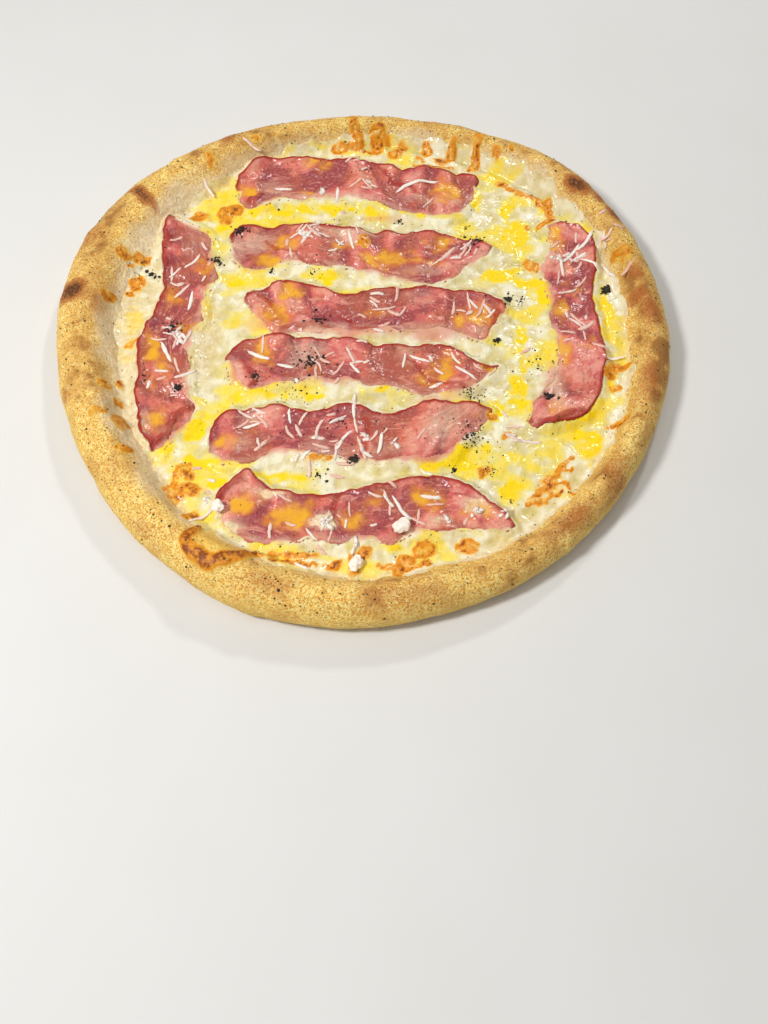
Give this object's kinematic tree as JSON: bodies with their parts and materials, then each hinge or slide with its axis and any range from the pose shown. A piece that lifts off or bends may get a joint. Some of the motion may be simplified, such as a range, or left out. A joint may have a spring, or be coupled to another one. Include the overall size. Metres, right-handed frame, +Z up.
{
  "type": "pizza carbonara",
  "caption": "Whole round pizza with a puffy browned rim, melted cheese, bacon slices, egg yolk, grated hard cheese and cracked black pepper.",
  "frame": {"origin": "middle of the flat underside, where it rests", "axes": "+Z up out of the toppings; +Y towards the far side, so that the six bacon rows run along X"},
  "size_m": [0.316, 0.3127, 0.0233],
  "materials": {
    "baked_dough": "golden baked dough, matte, browned in spots",
    "melted_cheese": "pale cream melted cheese, shiny, stained with egg yolk",
    "bacon": "pink-red cooked bacon, shiny with fat",
    "hard_cheese": "off-white grated hard cheese"
  },
  "bodies": {
    "root": {"crust": "baked_dough", "cheese_layer": "melted_cheese", "bacon_row_1": "bacon", "bacon_row_2": "bacon", "bacon_row_3": "bacon", "bacon_row_4": "bacon", "bacon_row_5": "bacon", "bacon_row_6": "bacon", "bacon_left": "bacon", "bacon_right": "bacon", "cheese_crumb_1": "hard_cheese", "cheese_crumb_2": "hard_cheese", "cheese_crumb_3": "hard_cheese"}
  },
  "joints": []
}
